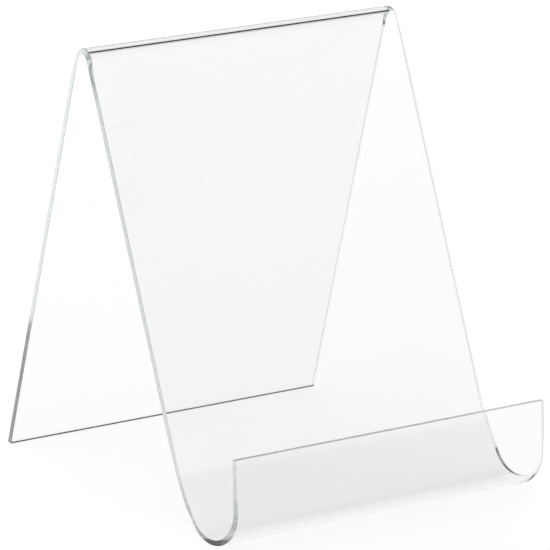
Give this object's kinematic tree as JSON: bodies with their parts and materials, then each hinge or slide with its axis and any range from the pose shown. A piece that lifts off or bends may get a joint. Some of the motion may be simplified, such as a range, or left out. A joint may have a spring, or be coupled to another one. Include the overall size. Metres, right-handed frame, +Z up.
{
  "type": "book display stand",
  "caption": "Clear acrylic book easel, a bent sheet with a back leg, a leaning front panel and a curled trough whose lip holds a book or tablet on display.",
  "frame": {"origin": "on the ground, at the middle of the stand's footprint", "axes": "+Z up, the stand's height; -Y towards the reader, the side the book faces; +X across the width, to the reader's right"},
  "size_m": [0.231, 0.2224, 0.2577],
  "materials": {
    "clear_acrylic": "polished"
  },
  "bodies": {
    "root": {"easel_sheet": "clear_acrylic"}
  },
  "joints": []
}
